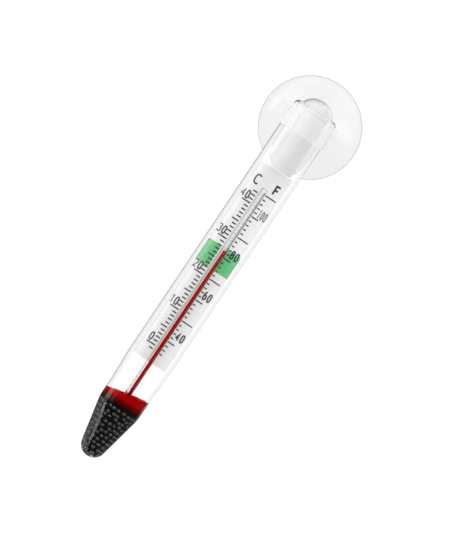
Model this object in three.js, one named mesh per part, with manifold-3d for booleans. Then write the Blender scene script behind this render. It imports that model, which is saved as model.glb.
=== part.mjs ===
// A sealed glass tube thermometer with a suction cup, in millimetres.
// +Z runs up the tube to its dome, +Y points at the pane that the cup sticks to, and the origin is
// the centre of the cup's rim, level with the middle of the collar.
import * as THREE from "three";
import { mergeVertices } from "three/addons/utils/BufferGeometryUtils.js";
import Module from "manifold-3d";

const { degToRad, lerp, radToDeg, smoothstep } = THREE.MathUtils;

// Suction cup: a bell with a flat lip, and a mushroom knob on its back.
const CUP_RADIUS = 13.7;
const CUP_HEIGHT = 5.2;
const LIP_WIDTH = 1.4;
const LIP_THICKNESS = 0.55;
const LIP_EDGE_THICKNESS = 0.35;
const HOLLOW_RADIUS = 11.9;
const HOLLOW_DEPTH = 3.9;
const NECK_RADIUS = 2.2;
const NECK_LENGTH = 1.3;
const KNOB_RADIUS = 3.0;
const KNOB_THICKNESS = 1.5;
const KNOB_EDGE = 0.85;

// Collar: a ring round the tube, with a boss that the knob buttons into.
const COLLAR_BORE_RADIUS = 6.5;
const COLLAR_RADIUS = 7.3;
const COLLAR_HEIGHT = 6.2;
const COLLAR_CHAMFER = 0.3;
const BOSS_RADIUS = 4.2;
const BOSS_WALL = 1.15;
const SOCKET_RADIUS = 3.3;
const NECK_HOLE_RADIUS = 2.45;

// Clearances between pieces.
const SEAM = 0.25;
const KNOB_TO_TUBE = 0.42;
const KNOB_TO_BOSS = 0.1;
const INSIDE_GAP = 0.1;

// Glass envelope: a barrel, a slightly narrower waist, a cone and a round tip.
const BARREL_RADIUS = 6.33;
const GLASS_WALL = 0.9;
const BARREL_TOP = 3.35;
const BARREL_BOTTOM = -72.6;
const WAIST_RADIUS = 5.94;
const WAIST_TOP = -84.2;
const CONE_HALF_ANGLE = degToRad(11.7);
const TIP_RADIUS = 3.49;
const TIP_BOTTOM = -102.4;

// Dome: a rounded shoulder, a crease, and a cap with the apex at the top of the thermometer.
const SHOULDER_WIDTH = 1.78;
const SHOULDER_HEIGHT = 1.45;
const CAP_RADIUS = 5.0;
const DOME_TOP = 7.6;
const DOME_WALL = 0.5;

// Scale card, bowed to the back of the tube, and the plug that keeps it from sliding up.
const CARD_WIDTH = 10.1;
const CARD_BOTTOM = -73.35;
const CARD_TOP = -13.95;
const CARD_THICKNESS = 0.25;
const CARD_BOW = 0.5;
const CARD_BEHIND_AXIS = 1.05;
const CARD_SHIFT_X = -0.2;
const PLUG_RADIUS = 3.2;
const PLUG_TOP = 6.75;
const PLUG_CROWN = 3.0;
const PLUG_SHIFT_X = 0.7;

// Capillary, whose bore is a little off its centre, and the spirit in it.
const CAPILLARY_RADIUS = 0.925;
const CAPILLARY_TOP = -19.6;
const CAPILLARY_BOTTOM = -84.5;
const BORE_RADIUS = 0.36;
const BORE_SHIFT_X = 0.25;
const BORE_END_WALL = 0.8;
const SPIRIT_RADIUS = 0.335;
const COLUMN_TOP = -38.5;
const MENISCUS_LENGTH = 3.0;
const THREAD_BOTTOM = -84.6;

// Glass bulb in the ballast, open to the capillary at its neck.
const BULB_TOP = -84.8;
const BULB_NECK_RADIUS = 0.925;
const BULB_SHOULDER = -86.6;
const BULB_RADIUS = 2.0;
const BULB_BOTTOM = -92.5;
const BULB_WALL = 0.35;

// Sealing wax, which set with its top surface tilted up to the right.
const WAX_BOTTOM = -86.95;
const WAX_TOP_MIDDLE = -83.7;
const WAX_TILT = degToRad(11.3);

// Ballast: rows of balls against the glass, and a core of glue and inner shot.
const SHOT_RADIUS = 0.625;
const SHOT_ROWS = 12;
const SHOT_TOP = -87.9;
const SHOT_GAP = 0.05;
const SHOT_SPACING = 1.14;
const CORE_TOP = -87.25;
const CORE_BOTTOM = -98.6;
const CORE_GAP = 0.2;

// Sides of the round pieces, and steps along their curves.
const ROUND = 40;
const COARSE_ROUND = 32;
const SMALL_ROUND = 20;
const TIP_STEPS = 4;
const TAPER_STEPS = 3;
const SHOULDER_STEPS = 3;
const CAP_STEPS = 4;
const BELL_STEPS = 6;
const KNOB_STEPS = 3;
const BULB_STEPS = 3;
const CARD_STEPS = 10;

// Places that follow from the sizes above.
const KNOB_BACK = -(CUP_HEIGHT + SEAM + NECK_LENGTH);
const KNOB_FRONT = KNOB_BACK - KNOB_THICKNESS;
const BOSS_INNER_FACE = KNOB_BACK + KNOB_TO_BOSS;
const BOSS_BACK = BOSS_INNER_FACE + BOSS_WALL;
const TUBE_AXIS_Y = KNOB_FRONT - KNOB_TO_TUBE - BARREL_RADIUS;
const TIP_CENTRE = TIP_BOTTOM + TIP_RADIUS;
const CAP_CENTRE = DOME_TOP - CAP_RADIUS;
const DOME_BOTTOM = BARREL_TOP + SEAM;
const BORE_TOP = CAPILLARY_TOP - BORE_END_WALL;
const MENISCUS_BOTTOM = COLUMN_TOP - MENISCUS_LENGTH;

const wasm = await Module();
wasm.setup();

// A profile of [radius, height] points turned about the Z axis.
function turned(profile, sides) {
  const points = profile.map(([r, z]) => new THREE.Vector2(r, z));
  return new THREE.LatheGeometry(points, sides).rotateX(Math.PI / 2);
}

// A profile of [radius, y] points turned about the Y axis.
function turnedAboutY(profile, sides) {
  return new THREE.LatheGeometry(profile.map(([r, y]) => new THREE.Vector2(r, y)), sides);
}

function cylinderAlongY(radius, from, to, sides) {
  const length = to - from;
  return new THREE.CylinderGeometry(radius, radius, length, sides).translate(0, from + length / 2, 0);
}

function cylinderAlongZ(radius, from, to, sides) {
  const length = to - from;
  const made = new THREE.CylinderGeometry(radius, radius, length, sides).rotateX(Math.PI / 2);
  return made.translate(0, 0, from + length / 2);
}

// Points at even steps of an angle on an oval round [0, middle], which is as high as wide unless told.
function arc(middle, radius, fromDeg, toDeg, steps, height = radius) {
  return Array.from({ length: steps + 1 }, (_, i) => {
    const angle = degToRad(lerp(fromDeg, toDeg, i / steps));
    const onAxis = Math.abs(Math.cos(angle)) < 1e-9;
    return [onAxis ? 0 : radius * Math.cos(angle), middle + height * Math.sin(angle)];
  });
}

function solid(geometry) {
  const bare = geometry.clone();
  bare.deleteAttribute("normal");
  bare.deleteAttribute("uv");
  const merged = mergeVertices(bare);
  return new wasm.Manifold(
    new wasm.Mesh({
      numProp: 3,
      vertProperties: new Float32Array(merged.attributes.position.array),
      triVerts: new Uint32Array(merged.index.array),
    }),
  );
}

function geometryOf(manifold) {
  const mesh = manifold.getMesh();
  const geometry = new THREE.BufferGeometry();
  geometry.setAttribute("position", new THREE.BufferAttribute(new Float32Array(mesh.vertProperties), 3));
  geometry.setIndex(new THREE.BufferAttribute(new Uint32Array(mesh.triVerts), 1));
  const flat = geometry.toNonIndexed();
  flat.computeVertexNormals();
  return flat;
}

// The envelope's side from its tip up to the top of the barrel, moved in from the outside surface.
function envelopeSide(inset) {
  const tip = TIP_RADIUS - inset;
  const waist = WAIST_RADIUS - inset;
  const barrel = BARREL_RADIUS - inset;
  const side = arc(TIP_CENTRE, tip, -90, -radToDeg(CONE_HALF_ANGLE), TIP_STEPS);
  const [coneFoot, coneFootZ] = side.at(-1);
  side.push([waist, coneFootZ + (waist - coneFoot) / Math.tan(CONE_HALF_ANGLE)]);
  for (let i = 0; i <= TAPER_STEPS; i++) {
    const t = i / TAPER_STEPS;
    side.push([lerp(waist, barrel, smoothstep(t, 0, 1)), lerp(WAIST_TOP, BARREL_BOTTOM, t)]);
  }
  side.push([barrel, BARREL_TOP]);
  return side;
}

function envelopeTube() {
  const outside = envelopeSide(0);
  const inside = envelopeSide(GLASS_WALL);
  return turned([...outside, ...inside.reverse()], ROUND);
}

// The dome's outline from the apex down to its rim, moved in from the outside surface.
function domeSide(inset) {
  const cap = CAP_RADIUS - inset;
  const shoulder = BARREL_RADIUS - inset - SHOULDER_WIDTH;
  const creaseDeg = radToDeg(Math.acos(shoulder / cap));
  const side = arc(CAP_CENTRE, cap, 90, creaseDeg, CAP_STEPS);
  const crease = side.at(-1)[1];
  const height = Math.min(SHOULDER_HEIGHT, crease - DOME_BOTTOM);
  for (let i = 1; i <= SHOULDER_STEPS; i++) {
    const angle = (Math.PI / 2) * (1 - i / SHOULDER_STEPS);
    side.push([shoulder + SHOULDER_WIDTH * Math.cos(angle), DOME_BOTTOM + height * Math.sin(angle)]);
  }
  return side;
}

function envelopeDome() {
  return turned([...domeSide(0), ...domeSide(DOME_WALL).reverse()].reverse(), ROUND);
}

function cupBell() {
  const profile = [];
  const lipInside = CUP_RADIUS - LIP_WIDTH;
  for (let i = 0; i <= BELL_STEPS; i++) {
    const r = (lipInside * i) / BELL_STEPS;
    const rise = (CUP_HEIGHT - LIP_THICKNESS) * (1 - (r / lipInside) ** 2);
    profile.push([r, -(LIP_THICKNESS + rise)]);
  }
  profile.push([CUP_RADIUS, -LIP_EDGE_THICKNESS], [CUP_RADIUS, 0]);
  for (let i = BELL_STEPS; i >= 0; i--) {
    const r = (HOLLOW_RADIUS * i) / BELL_STEPS;
    profile.push([r, -HOLLOW_DEPTH * (1 - (r / HOLLOW_RADIUS) ** 2)]);
  }
  return turnedAboutY(profile, ROUND);
}

function cupKnob() {
  const neckEnd = -(CUP_HEIGHT + SEAM);
  const edge = KNOB_BACK - KNOB_EDGE;
  const profile = [
    ...arc(edge, KNOB_RADIUS, -90, 0, KNOB_STEPS, edge - KNOB_FRONT),
    [KNOB_RADIUS, KNOB_BACK],
    [NECK_RADIUS, KNOB_BACK],
    [NECK_RADIUS, neckEnd],
    [0, neckEnd],
  ];
  return turnedAboutY(profile, COARSE_ROUND);
}

function collar() {
  const half = COLLAR_HEIGHT / 2;
  const eased = COLLAR_RADIUS - COLLAR_CHAMFER;
  const outline = [
    [0, -half],
    [eased, -half],
    [COLLAR_RADIUS, COLLAR_CHAMFER - half],
    [COLLAR_RADIUS, half - COLLAR_CHAMFER],
    [eased, half],
    [0, half],
  ];
  const drum = turned(outline, ROUND).translate(0, TUBE_AXIS_Y, 0);
  const boss = cylinderAlongY(BOSS_RADIUS, TUBE_AXIS_Y, BOSS_BACK, COARSE_ROUND);
  const bore = cylinderAlongZ(COLLAR_BORE_RADIUS, -COLLAR_RADIUS, COLLAR_RADIUS, ROUND);
  const socket = cylinderAlongY(SOCKET_RADIUS, TUBE_AXIS_Y, BOSS_INNER_FACE, COARSE_ROUND);
  const neckHole = cylinderAlongY(NECK_HOLE_RADIUS, TUBE_AXIS_Y, 0, COARSE_ROUND);
  const made = solid(drum)
    .add(solid(boss))
    .subtract(solid(bore.translate(0, TUBE_AXIS_Y, 0)))
    .subtract(solid(socket))
    .subtract(solid(neckHole));
  return geometryOf(made);
}

// The card's cross-section is a strip of two arcs, bowed away from the capillary.
function scaleCard() {
  const half = CARD_WIDTH / 2;
  const strip = new THREE.Shape();
  const bowed = (x, back) => CARD_BEHIND_AXIS + back - CARD_BOW * (x / half) ** 2;
  for (let i = 0; i <= CARD_STEPS; i++) {
    const x = lerp(-half, half, i / CARD_STEPS);
    strip[i ? "lineTo" : "moveTo"](x, bowed(x, 0));
  }
  for (let i = CARD_STEPS; i >= 0; i--) {
    const x = lerp(-half, half, i / CARD_STEPS);
    strip.lineTo(x, bowed(x, CARD_THICKNESS));
  }
  const made = new THREE.ExtrudeGeometry(strip, { depth: CARD_TOP - CARD_BOTTOM, bevelEnabled: false });
  return made.translate(CARD_SHIFT_X, 0, CARD_BOTTOM);
}

function spacerPlug() {
  const crown = arc(PLUG_TOP - PLUG_CROWN, PLUG_RADIUS, 0, 90, CAP_STEPS, PLUG_CROWN);
  const foot = CARD_TOP + SEAM;
  const made = turned([[0, foot], [PLUG_RADIUS, foot], ...crown], COARSE_ROUND);
  return made.translate(PLUG_SHIFT_X, 0, 0);
}

function capillary() {
  const stem = cylinderAlongZ(CAPILLARY_RADIUS, CAPILLARY_BOTTOM, CAPILLARY_TOP, SMALL_ROUND);
  const bore = cylinderAlongZ(BORE_RADIUS, CAPILLARY_BOTTOM - 1, BORE_TOP, SMALL_ROUND);
  return geometryOf(solid(stem).subtract(solid(bore.translate(BORE_SHIFT_X, 0, 0))));
}

function spiritThread() {
  const made = cylinderAlongZ(SPIRIT_RADIUS, THREAD_BOTTOM, MENISCUS_BOTTOM - SEAM, SMALL_ROUND);
  return made.translate(BORE_SHIFT_X, 0, 0);
}

function spiritMeniscus() {
  const round = arc(COLUMN_TOP - SPIRIT_RADIUS, SPIRIT_RADIUS, 0, 90, BULB_STEPS);
  const profile = [[0, MENISCUS_BOTTOM], [SPIRIT_RADIUS, MENISCUS_BOTTOM], ...round];
  return turned(profile, SMALL_ROUND).translate(BORE_SHIFT_X, 0, 0);
}

// The bulb's outline from its bottom up to its open neck, moved in from the outside surface.
function bulbSide(inset) {
  const body = BULB_RADIUS - inset;
  const side = arc(BULB_BOTTOM + BULB_RADIUS, body, -90, 0, BULB_STEPS);
  side.push([body, BULB_SHOULDER], [BULB_NECK_RADIUS - inset, BULB_SHOULDER + body / 2]);
  return side;
}

function bulb() {
  const rim = [[BULB_NECK_RADIUS, BULB_TOP], [BULB_NECK_RADIUS - BULB_WALL, BULB_TOP]];
  return turned([...bulbSide(0), ...rim, ...bulbSide(BULB_WALL).reverse()], SMALL_ROUND);
}

function spiritReservoir() {
  const inset = BULB_WALL + INSIDE_GAP;
  const top = BULB_TOP - INSIDE_GAP;
  return turned([...bulbSide(inset), [BULB_NECK_RADIUS - inset, top], [0, top]], SMALL_ROUND);
}

// Everything inside a bulb one gap larger than the real one, with its neck carried on upwards.
function roomForBulb() {
  return turned([...bulbSide(-CORE_GAP), [BULB_NECK_RADIUS + CORE_GAP, 0], [0, 0]], SMALL_ROUND);
}

function waxPlug() {
  const radius = WAIST_RADIUS - GLASS_WALL - INSIDE_GAP;
  const room = COLLAR_RADIUS * 2;
  const above = new THREE.BoxGeometry(room, room, room).translate(0, 0, room / 2);
  above.rotateY(-WAX_TILT).translate(0, 0, WAX_TOP_MIDDLE);
  const blank = cylinderAlongZ(radius, WAX_BOTTOM, WAX_TOP_MIDDLE + radius, COARSE_ROUND);
  return geometryOf(solid(blank).subtract(solid(above)).subtract(solid(roomForBulb())));
}

// Radius of the core of glue and inner shot: what the outer row of balls leaves free.
function coreRadius(z) {
  const inset = GLASS_WALL + SHOT_GAP + 2 * SHOT_RADIUS + CORE_GAP;
  const foot = (TIP_RADIUS - inset) * Math.cos(CONE_HALF_ANGLE);
  return Math.max(foot, foot + (z - TIP_CENTRE) * Math.tan(CONE_HALF_ANGLE));
}

function shotCore() {
  const outline = [
    [0, CORE_BOTTOM],
    [coreRadius(CORE_BOTTOM), CORE_BOTTOM],
    [coreRadius(CORE_TOP), CORE_TOP],
    [0, CORE_TOP],
  ];
  return geometryOf(solid(turned(outline, SMALL_ROUND)).subtract(solid(roomForBulb())));
}

// Where the middle of a row of balls lies, at even steps down the inside of the glass.
function shotRowPlace(row) {
  const inset = GLASS_WALL + SHOT_GAP + SHOT_RADIUS;
  const tip = TIP_RADIUS - inset;
  const footZ = TIP_CENTRE - tip * Math.sin(CONE_HALF_ANGLE);
  const footRadius = tip * Math.cos(CONE_HALF_ANGLE);
  const coneLength = (SHOT_TOP - footZ) / Math.cos(CONE_HALF_ANGLE);
  const arcAngle = Math.PI / 2 - CONE_HALF_ANGLE;
  const travelled = ((coneLength + tip * arcAngle) * row) / (SHOT_ROWS - 1);
  if (travelled < coneLength) {
    const left = coneLength - travelled;
    return [footRadius + left * Math.sin(CONE_HALF_ANGLE), footZ + left * Math.cos(CONE_HALF_ANGLE)];
  }
  const angle = CONE_HALF_ANGLE + (travelled - coneLength) / tip;
  return [Math.abs(tip * Math.cos(angle)), TIP_CENTRE - tip * Math.sin(angle)];
}

// A faceted ball with two opposite corners on its Y axis, which meet its neighbours' in a row.
function shotBall() {
  const ball = new THREE.IcosahedronGeometry(SHOT_RADIUS);
  const corner = new THREE.Vector3().fromBufferAttribute(ball.attributes.position, 0).normalize();
  const turn = new THREE.Quaternion().setFromUnitVectors(corner, new THREE.Vector3(0, 1, 0));
  return ball.applyQuaternion(turn);
}

function shotRow(row) {
  const [radius, z] = shotRowPlace(row);
  const count = Math.max(1, Math.ceil((2 * Math.PI * radius) / SHOT_SPACING));
  const stagger = (row % 2) / 2;
  const balls = Array.from({ length: count }, (_, i) => {
    const angle = (2 * Math.PI * (i + stagger)) / count;
    return solid(shotBall().translate(count > 1 ? radius : 0, 0, z).rotateZ(angle));
  });
  return geometryOf(balls.reduce((joined, ball) => joined.add(ball)));
}

function material(color, roughness, metalness = 0, opacity = 1) {
  return new THREE.MeshStandardMaterial({ color, roughness, metalness, opacity, transparent: opacity < 1 });
}

const clearVinyl = () => material(0xeef0f0, 0.3, 0, 0.5);
const clearGlass = () => material(0xf4f8f8, 0.05, 0, 0.25);
const redSpirit = () => material(0x9c0505, 0.2);
const blackShot = () => material(0x17181c, 0.35, 0.6);

const thermometer = new THREE.Group();

function place(name, geometry, look, onTube = true) {
  const mesh = new THREE.Mesh(geometry, look);
  mesh.name = name;
  mesh.position.y = onTube ? TUBE_AXIS_Y : 0;
  thermometer.add(mesh);
}

place("cup_bell", cupBell(), clearVinyl(), false);
place("cup_knob", cupKnob(), clearVinyl(), false);
place("collar", collar(), clearVinyl(), false);
place("envelope_tube", envelopeTube(), clearGlass());
place("envelope_dome", envelopeDome(), clearGlass());
place("scale_card", scaleCard(), material(0xf7f7f5, 0.6));
place("spacer_plug", spacerPlug(), material(0xe4e4e4, 0.7));
place("capillary", capillary(), material(0xf2f2f2, 0.1));
place("bulb", bulb(), clearGlass());
place("spirit_reservoir", spiritReservoir(), redSpirit());
place("spirit_thread", spiritThread(), redSpirit());
place("spirit_meniscus", spiritMeniscus(), redSpirit());
place("wax_plug", waxPlug(), material(0x6e0404, 0.4));
place("shot_core", shotCore(), blackShot());
for (let row = 0; row < SHOT_ROWS; row++) {
  place(`shot_row_${String(row + 1).padStart(2, "0")}`, shotRow(row), blackShot());
}

export default thermometer;
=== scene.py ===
"""Glass tube thermometer on a suction cup: the looks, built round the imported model."""

import math
import random

import bmesh
import bpy
from mathutils import Matrix, Vector


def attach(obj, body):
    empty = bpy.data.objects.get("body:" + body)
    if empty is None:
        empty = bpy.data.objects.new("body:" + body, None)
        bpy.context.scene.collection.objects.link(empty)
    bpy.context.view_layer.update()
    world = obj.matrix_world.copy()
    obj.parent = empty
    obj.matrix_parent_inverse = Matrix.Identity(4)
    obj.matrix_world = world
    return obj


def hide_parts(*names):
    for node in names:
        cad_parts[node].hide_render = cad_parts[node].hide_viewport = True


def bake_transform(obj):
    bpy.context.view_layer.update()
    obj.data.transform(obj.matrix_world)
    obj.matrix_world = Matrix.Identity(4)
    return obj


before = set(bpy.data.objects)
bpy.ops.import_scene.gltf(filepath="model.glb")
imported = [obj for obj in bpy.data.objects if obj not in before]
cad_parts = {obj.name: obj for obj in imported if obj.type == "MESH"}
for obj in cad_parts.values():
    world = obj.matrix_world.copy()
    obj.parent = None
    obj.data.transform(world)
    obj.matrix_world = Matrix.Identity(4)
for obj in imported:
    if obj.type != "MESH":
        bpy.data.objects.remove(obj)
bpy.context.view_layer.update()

# Edges sharper than SHARP_EDGE are shaded as edges. Points nearer than TOUCHING, in mm, are one point.
MM = 0.001
SHARP_EDGE = math.radians(35)
TOUCHING = 1e-6

# Sides of a turned surface, by how large it is seen.
ROUND = 128
MIDDLING_ROUND = 64
SMALL_ROUND = 48
THREAD_ROUND = 32

# Suction cup, in mm: a bell with a flat lip, and a mushroom knob on a short neck. The neck starts a
# little way inside the bell. An EASE, here and below, is how far a corner is rounded off.
# RIM_PAINTED_SHADE is how far in from its edge the painted shade round the bell's rim starts, and where
# it is full.
CUP_RADIUS = 13.69
CUP_HEIGHT = 5.2
LIP_WIDTH = 1.4
LIP_THICKNESS = 0.55
LIP_EDGE = 0.35
HOLLOW_RADIUS = 11.9
HOLLOW_DEPTH = 3.9
NECK_RADIUS = 2.2
KNOB_RADIUS = 3.0
KNOB_BACK = -6.75
KNOB_FRONT = -8.25
KNOB_EDGE = -7.6
KNOB_EASE = 0.3
NECK_SINK = 0.1
LIP_EASE = 0.14
BELL_RINGS = 24
RIM_PAINTED_SHADE = 0.45, 0.1

# Collar, in mm. CUTTER_REACH is longer than the collar is high.
COLLAR_BORE = 6.4
COLLAR_RADIUS = 7.29
COLLAR_HEIGHT = 6.19
BOSS_RADIUS = 4.19
BOSS_BACK = -5.5
SOCKET_FACE = -6.65
SOCKET_RADIUS = 3.3
NECK_HOLE = 2.45
COLLAR_EASE = 0.35
BOSS_EASE = 0.3
BOSS_OVERLAP = 1
CUTTER_REACH = 9

# Glass envelope, in mm. TUBE_Y is the place of its axis, which stands along Z.
TUBE_Y = -15.0
BARREL_RADIUS = 6.33
GLASS_WALL = 0.9
DOME_WALL = 0.5
BARREL_TOP = 3.35
BARREL_BOTTOM = -72.6
WAIST_RADIUS = 5.94
WAIST_TOP = -84.2
CONE_HALF_ANGLE = math.radians(11.7)
TIP_RADIUS = 3.49
TIP_BOTTOM = -102.4
HIP_EASE = 0.9
SHOULDER_WIDTH = 1.78
SHOULDER_HEIGHT = 1.45
CAP_RADIUS = 5.0
DOME_TOP = 7.6
CAVITY_BOTTOM = -86.2
CAVITY_EASE = 0.05

# Scale card and its ink, in mm. CARD_BEHIND_AXIS is how far the middle of its face lies behind the
# tube's axis.
CARD_WIDTH = 10.1
CARD_BOTTOM = -73.35
CARD_TOP = -13.95
CARD_THICKNESS = 0.25
CARD_BOW = 0.5
CARD_BEHIND_AXIS = 1.05
CARD_SHIFT_X = -0.2
PRINT_LIFT = 0.012
INK_THICKNESS = 0.02
FIGURE_GAP = 0.22
BAND_SPANS = (-5.24, -1.27), (0.9, 4.84)
BAND_BOTTOM, BAND_TOP = -44.5, -38.0

# Printed scales, in mm: z = zero + step * degrees. A tick runs from beside the capillary, and is longest
# at every tenth degree C, and half way between the twenties of F. A HALF is half its thickness. Figures
# start a RISE above their ticks, and those of F by the DRIFT more for each degree under 100.
C_ZERO, C_STEP = -68.94, 1.1038
F_ZERO, F_STEP = -92.21, 0.6476
C_TICKS, F_TICKS = range(-1, 44), range(34, 111, 2)
C_TICK_START, C_TICK, C_TICK_FIVE, C_TICK_TEN = -1.24, -2.48, -3.2, -3.9
F_TICK_START, F_TICK, F_TICK_TWENTY, F_TICK_BETWEEN = 1.01, 1.78, 3.07, 4.23
C_TICK_HALF, F_TICK_HALF = 0.17, 0.16
C_FIGURE_RISE = 0.4
F_FIGURE_RISE, F_FIGURE_DRIFT = 0.34, 0.0155

# Lettering, in mm: where it starts, the width and height of each figure, and the width of the pen.
# SQUARISH is the power that flattens ovals, and MITRE_LIMIT keeps the outer corners of strokes short.
# STROKE_LIFT is how far strokes lie above one another, as a share of the ink's thickness.
C_FIGURES = {"x": -4.95, "width": 1.12, "height": 2.45, "pen": 0.36}
C_NOUGHT = {"x": -3.95, "width": 1.12, "height": 2.45, "pen": 0.36}
F_FIGURES = {"x": 1.95, "width": 1.1, "height": 2.5, "pen": 0.4}
F_HUNDRED = {"x": 2.05, "width": 0.7, "height": 2.5, "pen": 0.22}
C_LETTER = {"x": -4.05, "width": 1.95, "height": 2.9, "pen": 0.42}
F_LETTER = {"x": 2.0, "width": 1.6, "height": 2.9, "pen": 0.5}
LETTERS_Z = -19.95
SQUARISH = 0.8
MITRE_LIMIT = 0.5
STROKE_LIFT = 0.1

# Capillary and spirit, in mm. BORE_END is the glass above the bore. BORE_WALL is a radius that tells
# the bore's wall from the capillary's outside, and PAINTED_BORE_SHADE_X is where the painted shade on
# the right side of the bore starts and is full.
CAPILLARY_RADIUS = 0.92
CAPILLARY_CROWN = 0.3
CAPILLARY_TOP = -19.6
CAPILLARY_BOTTOM = -84.5
BORE_RADIUS = 0.37
BORE_SHIFT_X = 0.28
BORE_END = 0.8
BORE_WALL = 0.5
PAINTED_BORE_SHADE_X = 0.2, 0.4
SPIRIT_RADIUS = 0.38
SPIRIT_RINGS = 90
SPIRIT_BOTTOM = -84.6
SPIRIT_TOP = -38.5

# Spacer plug, wax and ballast, in mm. SHOT_SIZES, SHOT_PITCH and GLUE_DEPTH are in radii of a ball.
# ASIDE is how unevenly the balls of a row stand, as a share of the pitch, and INWARDS and UPWARDS are
# how far they lie off the row, in mm.
PLUG_RADIUS = 3.2
PLUG_GAP = 0.25
PLUG_EASE = 0.3
PLUG_TOP = 6.75
PLUG_CROWN = 3.0
PLUG_FULLNESS = 0.9
PLUG_SHIFT_X = 0.7
PLUG_RINGS = 20
PLUG_CROWN_RINGS = 14
WAX_BOTTOM = -87.0
WAX_TOP = -83.7
WAX_SLOPE = 0.2
WAX_IN_GLASS = 0.03
WAX_CLIMB = 0.35
WAX_CLIMB_POWER = 8
WAX_WAVE = 0.05
WAX_WAVE_ACROSS, WAX_WAVE_OUTWARDS = 2.2, 0.7
WAX_BLACK_TO_RED = -87.2, -83.4
SHOT_RADIUS = 0.63
SHOT_SEED = 7
SHOT_SIZES = 0.88, 0.97
SHOT_PITCH = 2.02
SHOT_ASIDE = 0.2
SHOT_INWARDS = 0.06
SHOT_UPWARDS = 0.24
SHOT_ROWS = 12
SHOT_TOP = -87.9
GLUE_TOP = -86.7
GLUE_DEPTH = 0.85

# Camera. VIEW_HEIGHT is what the picture shows at the tube, from foot to top, in mm, as is the place
# that it looks at. Its distance and the depths that it sees are in m.
VIEW_HEIGHT = 143.04
SENSOR_WIDTH = 36
NEAR_AND_FAR = 0.05, 20
CAMERA_DISTANCE = 1.6
CAMERA_SIDE = math.radians(3.0)
CAMERA_RISE = math.radians(1.9)
CAMERA_ROLL = math.radians(33.8)
VIEW_CENTRE_Z = -44.2
VIEW_CENTRE_RIGHT = 4.03

# Floor, in m.
FLOOR_RADIUS = 2.6
FLOOR_Z = -0.4

# Ends of the thin lamp at the lower left that draws the bright line down the tip.
STRIP_START = Vector((-103.8, TUBE_Y - 16.3, -121.5)) * MM
STRIP_END = Vector((-62.7, TUBE_Y - 80, -147.5)) * MM

# Brightness of the studio by the angle from straight behind the object, as a share of a half turn, - to
# the left. MIRRORED is what the outsides reflect: a soft box and a strip on the left, and little in front.
# INSIDE is what reaches the eye after reflections within the clear parts, and draws their edges.
# THROUGH is what is seen through clear parts: the white backdrop, and the dark room beyond its sides.
# High up ABOVE takes over from the first two, and low down the two called BELOW. OVERHEAD is a lamp
# above and in front, which INSIDE shows as well. AMBIENT is what lights matt surfaces.
MIRRORED = (
    (-1, 0.02), (-0.8, 0.05), (-0.72, 0.5), (-0.68, 0.35), (-0.64, 0.2), (-0.6, 2.0), (-0.49, 2.0),
    (-0.44, 0.08), (-0.2, 0.1), (-0.05, 0.6), (0.05, 0.9), (0.2, 0.6), (0.3, 0.06), (1, 0.02),
)
MIRRORED_BELOW = (
    (-1, 0.02), (-0.63, 0.02), (-0.57, 1.0), (-0.42, 0.8), (-0.3, 0.3), (-0.15, 0.15), (1, 0.05),
)
INSIDE = (
    (-1, 0.02), (-0.85, 0.04), (-0.7, 0.5), (-0.62, 1.6), (-0.48, 1.6), (-0.4, 0.5), (-0.3, 0.95),
    (-0.2, 1.05), (-0.12, 0.75), (-0.04, 0.75), (0.02, 1.0), (0.55, 1.0), (0.7, 0.3), (0.85, 0.04),
    (1, 0.02),
)
INSIDE_BELOW = (-1, 0.05), (-0.05, 0.05), (0.1, 0.8), (0.4, 0.8), (0.5, 0.05), (1, 0.05)
ABOVE = (-1, 0.45), (-0.1, 0.45), (0.0, 0.6), (0.12, 0.95), (1, 0.95)
THROUGH = (-1, 0.25), (-0.32, 0.3), (-0.17, 1.12), (0.3, 1.12), (0.5, 1.0), (1, 0.8)
OVERHEAD = 2.6
BACKDROP = 1.12
AMBIENT = 0.92

# Where those parts of the studio fade in, by the direction's z, or its y for how far in front it is.
ABOVE_FADE = 0.08, 0.25
BELOW_FADE = -0.1, -0.17
OVERHEAD_STARTS = 0.14, 0.24
OVERHEAD_ENDS = 0.6, 0.35
OVERHEAD_FRONT = 0.1, -0.2

# Materials: ink colours are the plain one and the one of worn specks.
GLASS_IOR = 1.5
BLACK_INK = 0.012, 0.05
GREEN_INK = (0.11, 0.58, 0.2), (0.14, 0.62, 0.24)


# ---------------------------------------------------------------- camera, light and floor


def make_camera():
    """Looks along +Y from a little to the right and above, rolled so that the tube leans."""
    across = Vector((math.cos(CAMERA_SIDE), math.sin(CAMERA_SIDE), 0))
    level = Vector((-across.y, across.x, 0))
    forward = level * math.cos(CAMERA_RISE) - Vector((0, 0, math.sin(CAMERA_RISE)))
    up = across.cross(forward)
    right = across * math.cos(CAMERA_ROLL) + up * math.sin(CAMERA_ROLL)
    top = up * math.cos(CAMERA_ROLL) - across * math.sin(CAMERA_ROLL)
    target = Vector((0, TUBE_Y, VIEW_CENTRE_Z)) * MM + across * (VIEW_CENTRE_RIGHT * MM)
    data = bpy.data.cameras.new("camera")
    data.sensor_width = SENSOR_WIDTH
    data.lens = SENSOR_WIDTH * CAMERA_DISTANCE / (VIEW_HEIGHT * MM)
    data.clip_start, data.clip_end = NEAR_AND_FAR
    camera = bpy.data.objects.new("camera", data)
    turn = Matrix((right, top, -forward)).transposed().to_4x4()
    camera.matrix_world = Matrix.Translation(target - forward * CAMERA_DISTANCE) @ turn
    bpy.context.scene.collection.objects.link(camera)
    bpy.context.scene.camera = camera


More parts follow.
